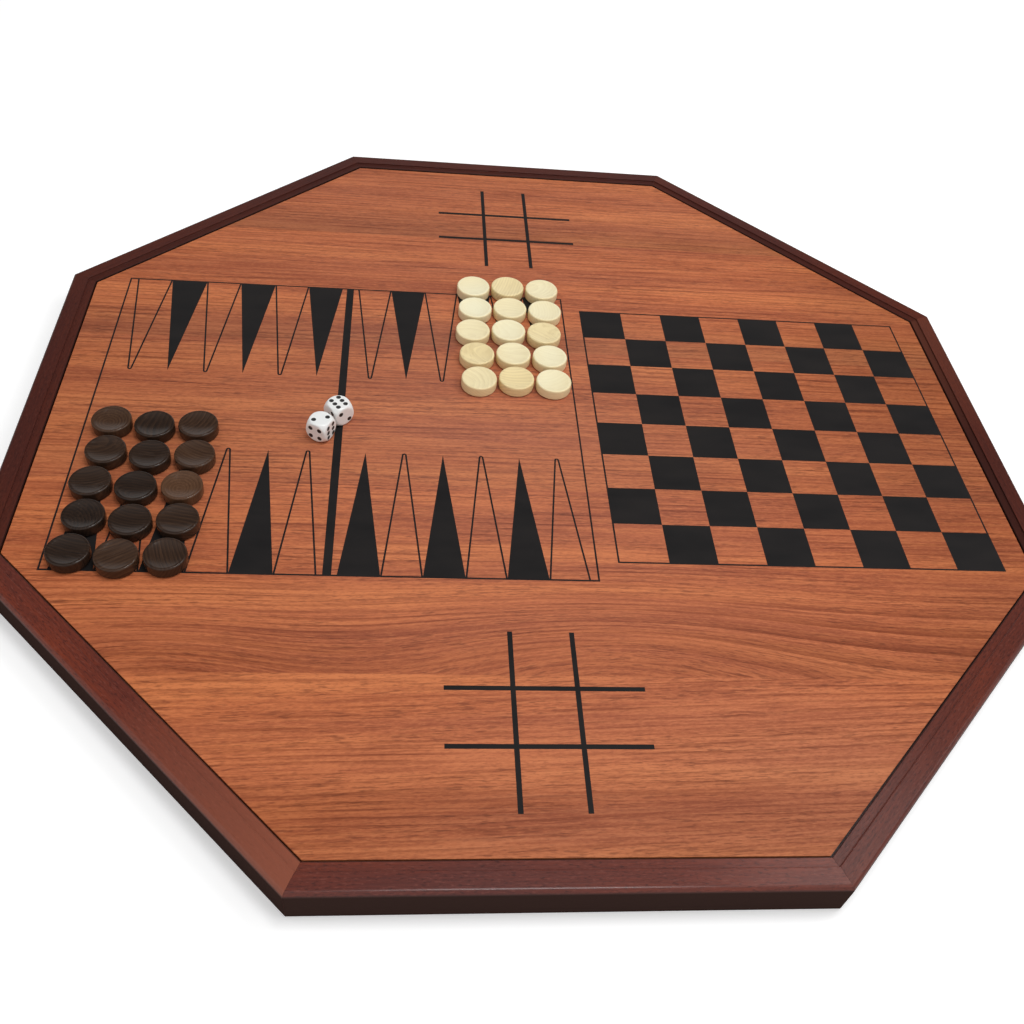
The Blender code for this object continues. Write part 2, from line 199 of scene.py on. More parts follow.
def cherry_laminate():
    """Printed cherry laminate under a satin coat: leaves edge to edge, one of them arched, with painted
    sheen and painted shade in places.
    """
    leaf_width = 0.152
    leaf_edge = -0.226
    leaf_apart = (1.7, 0.9)
    nearest_slant = 0.04
    material, tree, shader = new_finish("cherry_laminate", 0.42, 0.08)
    place = add_node(tree, "ShaderNodeTexCoord").outputs["Object"]
    parts = add_node(tree, "ShaderNodeSeparateXYZ")
    feed(tree, parts.inputs[0], place)
    from_edge = arithmetic(tree, "SUBTRACT", parts.outputs["Y"], leaf_edge)
    across = arithmetic(tree, "DIVIDE", from_edge, leaf_width)
    leaf = arithmetic(tree, "FLOOR", across)
    left_arch = arch(tree, place, (-0.235, -0.226), (0.085, 0.040), 0.026)
    right_arch = arch(tree, place, (0.040, -0.215), (0.130, 0.048), 0.036)
    arched = arithmetic(tree, "COMPARE", leaf, 0.0, 0.5)
    lift = arithmetic(tree, "MULTIPLY", arithmetic(tree, "ADD", left_arch, right_arch), arched)
    nearest = arithmetic(tree, "COMPARE", leaf, -1.0, 0.5)
    slant = arithmetic(tree, "MULTIPLY", parts.outputs["X"], nearest_slant)
    lift = arithmetic(tree, "ADD", lift, arithmetic(tree, "MULTIPLY", slant, nearest))
    own = add_node(tree, "ShaderNodeCombineXYZ")
    feed(tree, own.inputs["X"], arithmetic(tree, "MULTIPLY", leaf, leaf_apart[0]))
    feed(tree, own.inputs["Y"], arithmetic(tree, "MULTIPLY", lift, -1.0))
    feed(tree, own.inputs["Z"], arithmetic(tree, "MULTIPLY", leaf, leaf_apart[1]))
    grain = stretched(tree, place, (1.0, 1.0, 1.0), own.outputs[0])
    rings, streaks, pores, tone = place_figure(tree, grain, 0.0052, 5.0)

    broad = noise(tree, stretched(tree, grain, (2.0, 32.0, 32.0)), detail=3.0, roughness=0.55)
    colour = ramp(
        tree,
        ranged(tree, broad, 0.36, 0.64),
        ((0.0, (0.655, 0.202, 0.070)), (0.5, (0.545, 0.152, 0.055)), (1.0, (0.420, 0.108, 0.042))),
    )
    warm = ranged(tree, tone, 0.36, 0.64, 0.0, 0.22)
    colour = blended(tree, warm, colour, (0.460, 0.150, 0.084, 1.0))
    colour = blended(tree, ranged(tree, streaks, 0.45, 1.0, 0.0, 0.40), colour, (0.255, 0.062, 0.027, 1.0))
    colour = blended(tree, ranged(tree, streaks, 0.45, 0.0, 0.0, 0.26), colour, (0.730, 0.245, 0.092, 1.0))
    flecks = noise(tree, stretched(tree, grain, (300.0, 1250.0, 1250.0)), detail=2.0)
    colour = blended(tree, ranged(tree, flecks, 0.48, 0.32, 0.0, 0.38), colour, (0.270, 0.070, 0.032, 1.0))
    colour = blended(tree, ranged(tree, flecks, 0.54, 0.70, 0.0, 0.28), colour, (0.735, 0.258, 0.105, 1.0))
    colour = blended(tree, arithmetic(tree, "MULTIPLY", pores, 0.50), colour, (0.150, 0.038, 0.018, 1.0))

    left_sweep = arch(tree, place, (-0.200, -0.212), (0.120, 0.023), 0.38)
    right_sweep = arch(tree, place, (0.200, -0.196), (0.150, 0.032), 0.90)
    swept = arithmetic(tree, "MULTIPLY", arithmetic(tree, "ADD", left_sweep, right_sweep), arched)
    late = arithmetic(
        tree,
        "MULTIPLY",
        ranged(tree, rings, 0.58, 0.92, smooth=True),
        ranged(tree, rings, 1.0, 0.95),
    )
    patchy = noise(tree, stretched(tree, grain, (13.0, 62.0, 62.0)), detail=2.0)
    depth = ranged(tree, patchy, 0.38, 0.64, 0.06, 0.62)
    depth = arithmetic(tree, "MULTIPLY", depth, ranged(tree, swept, 0.0, 1.0, 1.0, 0.2))
    sweeps = place_figure(tree, grain, 0.0150, 0.7)["Rings"]
    swept = arithmetic(tree, "MULTIPLY", swept, ranged(tree, sweeps, 0.85, 0.0))
    foot = ranged(tree, parts.outputs["Y"], leaf_edge + 0.045, leaf_edge, 0.0, 0.42, smooth=True)
    near_band = arch(tree, place, (-0.040, -0.310), (0.240, 0.013), 0.70)
    # Painted sheen: the near right corner of the panel is tinted pinker and cooler, where a reflection lies.
    painted_corner_sheen = arch(tree, place, (0.190, -0.300), (0.120, 0.050), 1.0)
    middle = arithmetic(tree, "COMPARE", leaf, 1.0, 0.5)
    far_leaves = arithmetic(tree, "GREATER_THAN", leaf, 1.5)
    far_foot = ranged(tree, arithmetic(tree, "FRACT", across), 0.38, 0.0, smooth=True)
    # Painted shade: the right edge of the panel is darkened, where less light falls.
    painted_right_shade = ranged(tree, parts.outputs["X"], 0.20, 0.31, smooth=True)
    near_end = ranged(tree, parts.outputs["Y"], -0.305, -0.335, smooth=True)
    for share, shade in (
        (arithmetic(tree, "MULTIPLY", late, depth), (0.42, 0.32, 0.28, 1.0)),
        (swept, (0.50, 0.39, 0.33, 1.0)),
        (arithmetic(tree, "MULTIPLY", foot, arched), (0.72, 0.66, 0.66, 1.0)),
        (near_band, (0.66, 0.58, 0.54, 1.0)),
        (painted_corner_sheen, (0.88, 0.95, 1.10, 1.0)),
        (middle, (0.88, 0.89, 0.92, 1.0)),
        (arithmetic(tree, "MULTIPLY", far_foot, far_leaves), (0.73, 0.75, 0.79, 1.0)),
        (painted_right_shade, (0.84, 0.85, 0.84, 1.0)),
        (near_end, (0.88, 0.90, 0.92, 1.0)),
    ):
        colour = blended(tree, share, colour, shade, "MULTIPLY")
    # Painted sheen: a pale veil added to the colour over the middle of the panel, where a broad reflection
    # lies.
    bloom_and_painted_sheen = arch(tree, place, (-0.040, -0.010), (0.200, 0.185), 1.0)
    colour = blended(tree, bloom_and_painted_sheen, colour, (0.010, 0.022, 0.028, 1.0), "ADD")
    feed(tree, shader.inputs["Base Color"], colour)
    feed(tree, shader.inputs["Roughness"], ranged(tree, streaks, 0.0, 1.0, 0.38, 0.48))
    raise_grain(tree, shader, arithmetic(tree, "MULTIPLY", pores, -1.0), 0.00004)
    return material


SHARP_FROM = 35.0


def finish_piece(bm, name, material, body, nodes=()):
    """Make a piece of edited geometry, dress it and fix it to its body."""
    mesh = bpy.data.meshes.new(name)
    bm.to_mesh(mesh)
    bm.free()
    return mount_piece(mesh, name, material, body, nodes)


def mount_piece(mesh, name, material, body, nodes=()):
    """Dress a mesh, fix it to its body and let it stand for its solids."""
    if not mesh.materials:
        mesh.materials.append(material)
    mesh.shade_smooth()
    mesh.set_sharp_from_angle(angle=math.radians(SHARP_FROM))
    piece = bpy.data.objects.new(name, mesh)
    bpy.context.scene.collection.objects.link(piece)
    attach(piece, body)
    if nodes:
        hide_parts(*nodes)
    return piece


SIDES = 8
HALF_TURN = math.pi / SIDES
panel_low, panel_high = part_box("games_panel")
panel_top = panel_high.z
figure = timber_figure()

PANEL_EASE = 0.0003
panel_corner = panel_high.x / math.cos(HALF_TURN)
panel_middle = Matrix.Translation((0.0, 0.0, (panel_low.z + panel_high.z) / 2))
panel = bmesh.new()
bmesh.ops.create_cone(
    panel,
    cap_ends=True,
    segments=SIDES,
    radius1=panel_corner,
    radius2=panel_corner,
    depth=panel_high.z - panel_low.z,
    matrix=panel_middle @ Matrix.Rotation(HALF_TURN, 4, "Z"),
)
brink = [edge for edge in panel.edges if all(v.co.z > panel_top - PANEL_EASE for v in edge.verts)]
bmesh.ops.bevel(panel, geom=brink, offset=PANEL_EASE, segments=3, profile=0.5, affect="EDGES")
finish_piece(panel, "panel_sheet", cherry_laminate(), "board", ["games_panel"])


# Printed games. Backgammon, a checkerboard and two tic-tac-toe grids are silk-screened on the laminate
# in one pass of thick black ink, which stands a hair above the surface and is duller than it.
INK_SUNK = 0.00001
INK_STANDS = 0.00006
INK_LOW = panel_top - INK_SUNK
INK_HIGH = panel_top + INK_STANDS
PRINT_MIDDLE = Vector((0.0, -0.0025))
THIN_LINE = 0.0012


def black_ink():
    """Matt screen ink, a little worn and uneven."""
    material, tree, shader = new_finish("black_ink", 0.6, 0.1)
    place = add_node(tree, "ShaderNodeTexCoord").outputs["Object"]
    cloudy = noise(tree, stretched(tree, place, (25.0, 60.0, 25.0)), detail=4.0)
    thin = ranged(tree, cloudy, 0.35, 0.7)
    colour = blended(tree, thin, (0.012, 0.0108, 0.011, 1.0), (0.018, 0.0155, 0.015, 1.0))
    feed(tree, shader.inputs["Base Color"], colour)
    feed(tree, shader.inputs["Roughness"], ranged(tree, cloudy, 0.3, 0.7, 0.48, 0.62))
    return material


def ribbon(bm, path, width, closed=False):
    """A flat stroke of ink along a path, mitred at its corners."""
    count = len(path)
    rims = []
    for i, point in enumerate(path):
        before = path[i - 1] if closed or i else point
        after = path[(i + 1) % count] if closed or i < count - 1 else point
        sides = [(b - a).normalized() for a, b in ((before, point), (point, after)) if (b - a).length]
        along = sum(sides, Vector((0.0, 0.0))).normalized()
        out = Vector((-along.y, along.x)) * (width / 2 / max(0.35, along.dot(sides[0])))
        left, right = point + out, point - out
        rims.append([bm.verts.new((*p, z)) for p, z in (
            (left, INK_LOW), (right, INK_LOW), (right, INK_HIGH), (left, INK_HIGH))])
    for i in range(count if closed else count - 1):
        here, there = rims[i], rims[(i + 1) % count]
        for k in range(4):
            bm.faces.new((here[k], here[(k + 1) % 4], there[(k + 1) % 4], there[k]))
    if not closed:
        bm.faces.new(rims[0])
        bm.faces.new(rims[-1])


def rectangle(left, right, near, far):
    """The corners of an upright rectangle."""
    return [Vector(corner) for corner in ((left, near), (right, near), (right, far), (left, far))]


def stamp(bm, name):
    """A hidden shape that a geometry tree copies."""
    bmesh.ops.recalc_face_normals(bm, faces=bm.faces)
    mesh = bpy.data.meshes.new(name)
    bm.to_mesh(mesh)
    bm.free()
    return bpy.data.objects.new(name, mesh)


def new_tree(name, **sockets):
    """A geometry tree with one input for each named size."""
    tree = bpy.data.node_groups.new(name, "GeometryNodeTree")
    kinds = {float: "NodeSocketFloat", int: "NodeSocketInt"}
    for label, value in sockets.items():
        kind = kinds.get(type(value), "NodeSocketObject")
        if isinstance(value, bpy.types.Material):
            kind = "NodeSocketMaterial"
        tree.interface.new_socket(label, in_out="INPUT", socket_type=kind)
    tree.interface.new_socket("Geometry", in_out="OUTPUT", socket_type="NodeSocketGeometry")
    return tree, add_node(tree, "NodeGroupInput").outputs


def close_tree(tree, geometry, ink):
    """End a geometry tree: real geometry in one material."""
    real = add_node(tree, "GeometryNodeRealizeInstances")
    feed(tree, real.inputs["Geometry"], geometry)
    painted = add_node(tree, "GeometryNodeSetMaterial")
    feed(tree, painted.inputs["Geometry"], real.outputs[0])
    feed(tree, painted.inputs["Material"], ink)
    end = add_node(tree, "NodeGroupOutput")
    feed(tree, end.inputs["Geometry"], painted.outputs[0])


def grown(tree, sockets, name):
    """Run a geometry tree and keep its result as a plain mesh."""
    host = bpy.data.objects.new(name, bpy.data.meshes.new(name))
    bpy.context.scene.collection.objects.link(host)
    modifier = host.modifiers.new(name, "NODES")
    modifier.node_group = tree
    for item in tree.interface.items_tree:
        if item.in_out == "INPUT":
            modifier[item.identifier] = sockets[item.name]
    graph = bpy.context.evaluated_depsgraph_get()
    mesh = bpy.data.meshes.new_from_object(host.evaluated_get(graph))
    host.modifiers.remove(modifier)
    bpy.data.objects.remove(host)
    return mesh


ink = black_ink()

# Checkerboard: the dark squares of eight by eight, inside one thin line.
SQUARE = 0.03357
SQUARES = 8
CHEQUER_MIDDLE = PRINT_MIDDLE + Vector((0.1840, 0.0004))
chequer_sizes = {"Square": SQUARE, "Squares": SQUARES, "Thickness": INK_HIGH - INK_LOW, "Ink": ink}
tree, sizes = new_tree("chequer_print", **chequer_sizes)
grid = add_node(tree, "GeometryNodeMeshGrid")
span = arithmetic(tree, "MULTIPLY", sizes["Square"], arithmetic(tree, "SUBTRACT", sizes["Squares"], 1.0))
for side in ("Size X", "Size Y"):
    feed(tree, grid.inputs[side], span)
for side in ("Vertices X", "Vertices Y"):
    feed(tree, grid.inputs[side], sizes["Squares"])
index = add_node(tree, "GeometryNodeInputIndex").outputs[0]
column = arithmetic(tree, "FLOOR", arithmetic(tree, "DIVIDE", index, sizes["Squares"]))
row = arithmetic(tree, "MODULO", index, sizes["Squares"])
dark = arithmetic(tree, "MODULO", arithmetic(tree, "ADD", column, row), 2.0)
block = add_node(tree, "GeometryNodeMeshCube")
block_size = add_node(tree, "ShaderNodeCombineXYZ")
for axis, size in zip(block_size.inputs, (sizes["Square"], sizes["Square"], sizes["Thickness"])):
    feed(tree, axis, size)
feed(tree, block.inputs["Size"], block_size.outputs[0])
laid = add_node(tree, "GeometryNodeInstanceOnPoints")
feed(tree, laid.inputs["Points"], grid.outputs["Mesh"])
feed(tree, laid.inputs["Selection"], dark)
feed(tree, laid.inputs["Instance"], block.outputs["Mesh"])
close_tree(tree, laid.outputs[0], sizes["Ink"])
chequers = grown(tree, chequer_sizes, "print_chequers")
chequers.transform(Matrix.Translation((*CHEQUER_MIDDLE, (INK_LOW + INK_HIGH) / 2)))
mount_piece(chequers, "print_chequers", ink, "board")

# Backgammon: two tables of six points a side, filled and hollow by turns, either side of a solid bar.
POINT_PITCH = 0.0271
POINT_LENGTH = 0.110
POINTS = 6
BAR_X = -0.1400
BAR_WIDTH = 0.0056
BAR_GAP = 0.0035
TABLE_MARGIN = 0.0053
TABLE_REACH = 0.1505
TIP_RADIUS = 0.0011
foot = -TABLE_REACH + THIN_LINE / 2

filled = bmesh.new()
corners = ((-POINT_PITCH / 2, foot), (POINT_PITCH / 2, foot), (0.0, foot + POINT_LENGTH))
face = filled.faces.new([filled.verts.new((x, y, INK_LOW)) for x, y in corners])
lifted = bmesh.ops.extrude_face_region(filled, geom=[face])["geom"]
bmesh.ops.translate(
    filled,
    verts=[v for v in lifted if isinstance(v, bmesh.types.BMVert)],
    vec=(0.0, 0.0, INK_HIGH - INK_LOW),
)
hollow = bmesh.new()
lean = math.atan2(POINT_PITCH / 2, POINT_LENGTH)
tip_y = foot + POINT_LENGTH - TIP_RADIUS
tip = [
    Vector((TIP_RADIUS * math.cos(angle), tip_y + TIP_RADIUS * math.sin(angle)))
    for angle in np.linspace(lean, math.pi - lean, 9)
]
half_base = POINT_PITCH / 2 - THIN_LINE / 2
ribbon(hollow, [Vector((half_base, foot)), *tip, Vector((-half_base, foot))], THIN_LINE)

table_sizes = {
    "Pitch": POINT_PITCH,
    "Points": POINTS,
    "Bar room": BAR_WIDTH + 2 * BAR_GAP,
    "Filled": stamp(filled, "filled_point"),
    "Hollow": stamp(hollow, "hollow_point"),
    "Ink": ink,
}
tree, sizes = new_tree("backgammon_print", **table_sizes)
step = add_node(tree, "ShaderNodeCombineXYZ")
feed(tree, step.inputs["X"], sizes["Pitch"])
first = add_node(tree, "ShaderNodeCombineXYZ")
half_row = arithmetic(tree, "MULTIPLY", arithmetic(tree, "SUBTRACT", sizes["Points"], 1.0), -0.5)
feed(tree, first.inputs["X"], arithmetic(tree, "MULTIPLY", half_row, sizes["Pitch"]))
line = add_node(tree, "GeometryNodeMeshLine")
feed(tree, line.inputs["Count"], sizes["Points"])
feed(tree, line.inputs["Start Location"], first.outputs[0])
feed(tree, line.inputs["Offset"], step.outputs[0])
odd = arithmetic(tree, "MODULO", add_node(tree, "GeometryNodeInputIndex").outputs[0], 2.0)
near_row = add_node(tree, "GeometryNodeJoinGeometry")
for label, chosen in (("Filled", arithmetic(tree, "SUBTRACT", 1.0, odd)), ("Hollow", odd)):
    shape = add_node(tree, "GeometryNodeObjectInfo")
    feed(tree, shape.inputs["Object"], sizes[label])
    laid = add_node(tree, "GeometryNodeInstanceOnPoints")
    feed(tree, laid.inputs["Points"], line.outputs["Mesh"])
    feed(tree, laid.inputs["Selection"], chosen)
    feed(tree, laid.inputs["Instance"], shape.outputs["Geometry"])
    tree.links.new(laid.outputs[0], near_row.inputs[0])
far_row = add_node(tree, "GeometryNodeTransform")
feed(tree, far_row.inputs["Geometry"], near_row.outputs[0])
feed(tree, far_row.inputs["Rotation"], (0.0, 0.0, math.pi))
tables = add_node(tree, "GeometryNodeJoinGeometry")
table_step = arithmetic(tree, "MULTIPLY", sizes["Pitch"], sizes["Points"])
for hand in (-0.5, 0.5):
    shift = add_node(tree, "ShaderNodeCombineXYZ")
    reach = arithmetic(tree, "ADD", table_step, sizes["Bar room"])
    feed(tree, shift.inputs["X"], arithmetic(tree, "MULTIPLY", reach, hand))
    for half in (near_row, far_row):
        moved = add_node(tree, "GeometryNodeTransform")
        feed(tree, moved.inputs["Geometry"], half.outputs[0])
        feed(tree, moved.inputs["Translation"], shift.outputs[0])
        tree.links.new(moved.outputs[0], tables.inputs[0])
close_tree(tree, tables.outputs[0], sizes["Ink"])
points = grown(tree, table_sizes, "print_points")
points.transform(Matrix.Translation((BAR_X, PRINT_MIDDLE.y, 0.0)))
mount_piece(points, "print_points", ink, "board")

# Ruled lines: the outlines of both boards, the bar, and the two tic-tac-toe grids.
GRID_MIDDLE_X = -0.0071
GRID_MIDDLE_Y = 0.2526
GRID_SHIFT_Y = 0.0008
GRID_PITCH = 0.0385
GRID_LENGTH = 0.120
GRID_LINE = 0.0031
lines = bmesh.new()
chequer_reach = SQUARE * SQUARES / 2 + THIN_LINE / 2
ribbon(
    lines,
    rectangle(
        CHEQUER_MIDDLE.x - chequer_reach,
        CHEQUER_MIDDLE.x + chequer_reach,
        CHEQUER_MIDDLE.y - chequer_reach,
        CHEQUER_MIDDLE.y + chequer_reach,
    ),
    THIN_LINE,
    closed=True,
)
table_half = BAR_WIDTH / 2 + BAR_GAP + POINTS * POINT_PITCH + TABLE_MARGIN
table_near = PRINT_MIDDLE.y - TABLE_REACH
table_far = PRINT_MIDDLE.y + TABLE_REACH
ribbon(
    lines,
    rectangle(BAR_X - table_half, BAR_X + table_half, table_near, table_far),
    THIN_LINE,
    closed=True,
)
bar_ends = (table_near + THIN_LINE / 2, table_far - THIN_LINE / 2)
ribbon(lines, [Vector((BAR_X, y)) for y in bar_ends], BAR_WIDTH)
for hand in (-1, 1):
    middle = Vector((GRID_MIDDLE_X, PRINT_MIDDLE.y + hand * GRID_MIDDLE_Y + GRID_SHIFT_Y))
    half = GRID_LENGTH / 2
    for k in (-0.5, 0.5):
        y = k * GRID_PITCH
        ribbon(lines, [middle + Vector((-half, y)), middle + Vector((half, y))], GRID_LINE)
        crossings = (-half, -GRID_PITCH / 2, GRID_PITCH / 2, half)
        insets = (0.0, GRID_LINE / 2, GRID_LINE / 2, 0.0)
        for i in range(3):
            low = Vector((k * GRID_PITCH, crossings[i] + insets[i]))
            high = Vector((k * GRID_PITCH, crossings[i + 1] - insets[i + 1]))
            ribbon(lines, [middle + low, middle + high], GRID_LINE)
bmesh.ops.recalc_face_normals(lines, faces=lines.faces)
finish_piece(lines, "print_lines", ink, "board")


# Rails. Eight lengths of hardwood moulding, mitred and glued at the corners, stained dark mahogany and
# lacquered. A flat band runs along the inside a step below the top, and a rabbet under it carries the panel.
RAIL_NAMES = (
    "rail_right",
    "rail_far_right",
    "rail_far",
    "rail_far_left",
    "rail_left",
    "rail_near_left",
    "rail_near",
    "rail_near_right",
)
RAIL_OUTER_ROUND = 0.003
RAIL_FOOT = 0.0008
LEDGE_WIDTH = 0.007
LEDGE_PLAY = 0.0003
BAND_LIP = 0.0005
BAND_WIDTH = 0.006
BAND_ROUND = 0.0003
STEP_ROUND = 0.0002
STEP_COVE = 0.0003
FLAT_EDGE = 0.0004
MITRE_LINE = 0.00012
RAIL_STATIONS = 24
RAIL_APART = 1.3
STAIN_FADE = 0.0006
WALL_DROP = 0.001
WEAR_CURVE = 0.7
WORN_RAILS = {"rail_near_left": 1.0, "rail_right": 0.25}
# Rails that come out darker, partly by their own deeper stain and partly by painted shade where they face
# away from the light; the first share is for the inner band, the second for the top.
DARKER_AND_SHADED_RAILS = {
    "rail_right": (0.85, 0.55),
    "rail_far_right": (0.66, 0.50),
    "rail_far": (0.66, 0.55),
    "rail_far_left": (0.68, 0.58),
    "rail_left": (0.56, 0.56),
    "rail_near_right": (0.24, 0.24),
}
rail_low, rail_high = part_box("rail_right")


def quarter(centre, radius, start, end, steps=8):
    """Points round part of a circle, from one angle to another in degrees."""
    turns = np.radians(np.linspace(start, end, steps + 1))
    return [(centre[0] + radius * math.cos(t), centre[1] + radius * math.sin(t)) for t in turns]


def rail_section():
    """The rail's outline from its outer foot, over the top, down the rabbet and along its ledge."""
    ledge, outer, top = rail_low.x, rail_high.x, rail_high.z
    inner = ledge + LEDGE_WIDTH
    ledge_top = panel_low.z - LEDGE_PLAY
    band_top = panel_high.z + BAND_LIP
    step = inner + BAND_WIDTH
    return [
        *quarter((outer - RAIL_FOOT, RAIL_FOOT), RAIL_FOOT, -90, 0, 3),
        *quarter((outer - RAIL_OUTER_ROUND, top - RAIL_OUTER_ROUND), RAIL_OUTER_ROUND, 0, 90, 10),
        (outer - RAIL_OUTER_ROUND - FLAT_EDGE, top),
        (step + STEP_ROUND + FLAT_EDGE, top),
        *quarter((step + STEP_ROUND, top - STEP_ROUND), STEP_ROUND, 90, 180, 6),
        *quarter((step - STEP_COVE, band_top + STEP_COVE), STEP_COVE, 0, -90, 4),
        (step - STEP_COVE - FLAT_EDGE, band_top),
        (inner + BAND_ROUND + FLAT_EDGE, band_top),
        *quarter((inner + BAND_ROUND, band_top - BAND_ROUND), BAND_ROUND, 90, 180, 4),
        (inner, ledge_top),
        (ledge, ledge_top),
        *quarter((ledge + RAIL_FOOT, RAIL_FOOT), RAIL_FOOT, 180, 270, 3),
    ]


def upward(tree):
    """How far a surface faces up: 1 on a flat top, 0 on an upright side."""
    facing = add_node(tree, "ShaderNodeSeparateXYZ")
    feed(tree, facing.inputs[0], add_node(tree, "ShaderNodeNewGeometry").outputs["Normal"])
    return facing.outputs["Z"]


def mahogany_stain():
    """Dark red-brown stain on short-pored wood: near black down the outer side, worn in places, darker on
    some rails partly by their own stain and partly by painted shade, with painted shade along the seam by
    the panel.
    """
    material, tree, shader = new_finish("mahogany_stain", 0.38, 0.06)
    unrolled = add_node(tree, "ShaderNodeUVMap", uv_map="along_rail").outputs[0]
    _, streaks, pores, tone = place_figure(tree, stretched(tree, unrolled, (2.6, 1.5, 1.0)), 0.007, 2.0)
    redder = ranged(tree, tone, 0.34, 0.66)
    colour = blended(tree, redder, (0.124, 0.029, 0.021, 1.0), (0.200, 0.039, 0.019, 1.0))
    colour = blended(tree, arithmetic(tree, "MULTIPLY", streaks, 0.40), colour, (0.070, 0.020, 0.017, 1.0))
    flecks = noise(tree, stretched(tree, unrolled, (260.0, 900.0, 1.0)), detail=2.0)
    pale_flecks = ranged(tree, flecks, 0.56, 0.70, 0.0, 0.45, smooth=True)
    colour = blended(tree, pale_flecks, colour, (0.210, 0.062, 0.045, 1.0))
    dark_flecks = ranged(tree, flecks, 0.44, 0.30, 0.0, 0.60, smooth=True)
    colour = blended(tree, dark_flecks, colour, (0.050, 0.016, 0.014, 1.0))
    colour = blended(tree, arithmetic(tree, "MULTIPLY", pores, 0.4), colour, (0.040, 0.014, 0.012, 1.0))
    kept = add_node(tree, "ShaderNodeVertexColor", layer_name="stain_and_shade")
    marks = add_node(tree, "ShaderNodeSeparateColor")
    feed(tree, marks.inputs[0], kept.outputs["Color"])
    wall, worn, painted_seam_shade = marks.outputs
    # Darker rails, partly their own stain and partly painted shade; they also lose some of their lacquer's
    # shine.
    colour = blended(tree, kept.outputs["Alpha"], (0.030, 0.012, 0.010, 1.0), colour)
    colour = blended(tree, arithmetic(tree, "MULTIPLY", worn, 0.72), colour, (0.310, 0.094, 0.052, 1.0))
    # Painted shade: the rail's inner edge along the seam with the panel is darkened.
    colour = blended(tree, arithmetic(tree, "MULTIPLY", painted_seam_shade, 0.75), colour, (0.016, 0.008, 0.007, 1.0))
    colour = blended(tree, wall, colour, (0.045, 0.0250, 0.0210, 1.0))
    feed(tree, shader.inputs["Base Color"], colour)
    shine = arithmetic(tree, "MULTIPLY", kept.outputs["Alpha"], ranged(tree, wall, 0.0, 1.0, 1.0, 0.0))
    lacquer = ranged(tree, upward(tree), 0.999, 0.98, 0.25, 0.75)
    feed(tree, shader.inputs["Specular IOR Level"], arithmetic(tree, "MULTIPLY", shine, 0.06))
    feed(tree, shader.inputs["Coat Weight"], arithmetic(tree, "MULTIPLY", shine, lacquer))
    feed(tree, shader.inputs["Coat Roughness"], 0.2)
    feed(tree, shader.inputs["Roughness"], ranged(tree, streaks, 0.0, 1.0, 0.32, 0.44))
    height = arithmetic(tree, "SUBTRACT", arithmetic(tree, "MULTIPLY", streaks, 0.4), dark_flecks)
    raise_grain(tree, shader, height, 0.0001)
    return material


def rail_mesh(number):
    """One rail, lofted between its two mitres, with its unrolled surface kept for the grain."""
    name = RAIL_NAMES[number]
    section = rail_section()
    lengths = np.r_[0.0, np.cumsum([math.dist(a, b) for a, b in zip(section, section[1:] + section[:1])])]
    bm = bmesh.new()
    unrolled = bm.loops.layers.uv.new("along_rail")
    stain_and_shade = bm.loops.layers.float_color.new("stain_and_shade")
    turn = Matrix.Rotation(2 * number * HALF_TURN, 3, "Z")
    rings = []
    places = []
    shares = np.linspace(-1.0, 1.0, RAIL_STATIONS + 1)
    for share in shares:
        along = [share * (out * math.tan(HALF_TURN) - MITRE_LINE / 2) for out, up in section]
        rings.append([bm.verts.new(turn @ Vector((out, y, up))) for (out, up), y in zip(section, along)])
        places.append(along)
    count = len(section)
    for i in range(RAIL_STATIONS):
        for k in range(count):
            nxt = (k + 1) % count
            face = bm.faces.new((rings[i][k], rings[i][nxt], rings[i + 1][nxt], rings[i + 1][k]))
            corners = ((i, k, k), (i, nxt, k + 1), (i + 1, nxt, k + 1), (i + 1, k, k))
            for loop, (station, point, step) in zip(face.loops, corners):
                loop[unrolled].uv = (places[station][point] + RAIL_APART * number, lengths[step])
                out, up = section[point]
                outside = min(1.0, max(0.0, (out - rail_high.x + STAIN_FADE) / STAIN_FADE))
                wall = outside * (up < rail_high.z - WALL_DROP)
                worn = WORN_RAILS.get(name, 0.0) * max(0.0, shares[station]) ** WEAR_CURVE
                # Painted shade along the seam: the points at the rail's inner edge next to the panel.
                painted_seam_shade = float(out < rail_low.x + LEDGE_WIDTH + STAIN_FADE)
                on_top = out > rail_low.x + LEDGE_WIDTH + BAND_WIDTH
                deep = DARKER_AND_SHADED_RAILS.get(name, (0.0, 0.0))[on_top]
                loop[stain_and_shade] = (wall, worn, painted_seam_shade, 1.0 - deep)
    for ring in (rings[0], rings[-1]):
        end = bm.faces.new(ring)
        for loop in end.loops:
            loop[unrolled].uv = (loop.vert.co.z + RAIL_APART * number, loop.vert.co.x)
            loop[stain_and_shade] = (0.0, 0.0, 0.0, 1.0)
    bmesh.ops.recalc_face_normals(bm, faces=bm.faces)
    return bm


stained = mahogany_stain()
for number, name in enumerate(RAIL_NAMES):
    finish_piece(rail_mesh(number), f"{name}_moulding", stained, "board", [name])


# Corner keys. Upright plywood splines, glued into slots across the mitres and hidden once the frame is
# closed. The solids already have their shape, so they only get bare plywood's layered edges.
def bare_plywood():
    """Pale plies, stacked crosswise."""
    material, tree, shader = new_finish("bare_plywood", 0.75, 0.3)
    place = add_node(tree, "ShaderNodeTexCoord").outputs["Object"]
    rings, streaks, _, _ = place_figure(tree, place, 0.0012, 0.4)
    colour = blended(tree, rings, (0.60, 0.43, 0.26, 1.0), (0.45, 0.30, 0.16, 1.0))
    feed(tree, shader.inputs["Base Color"], blended(tree, streaks, colour, (0.66, 0.50, 0.31, 1.0)))
    return material


plywood = bare_plywood()
for corner in range(1, SIDES + 1):
    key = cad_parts[f"corner_key_{corner}"]
    key.data.materials.clear()
    key.data.materials.append(plywood)


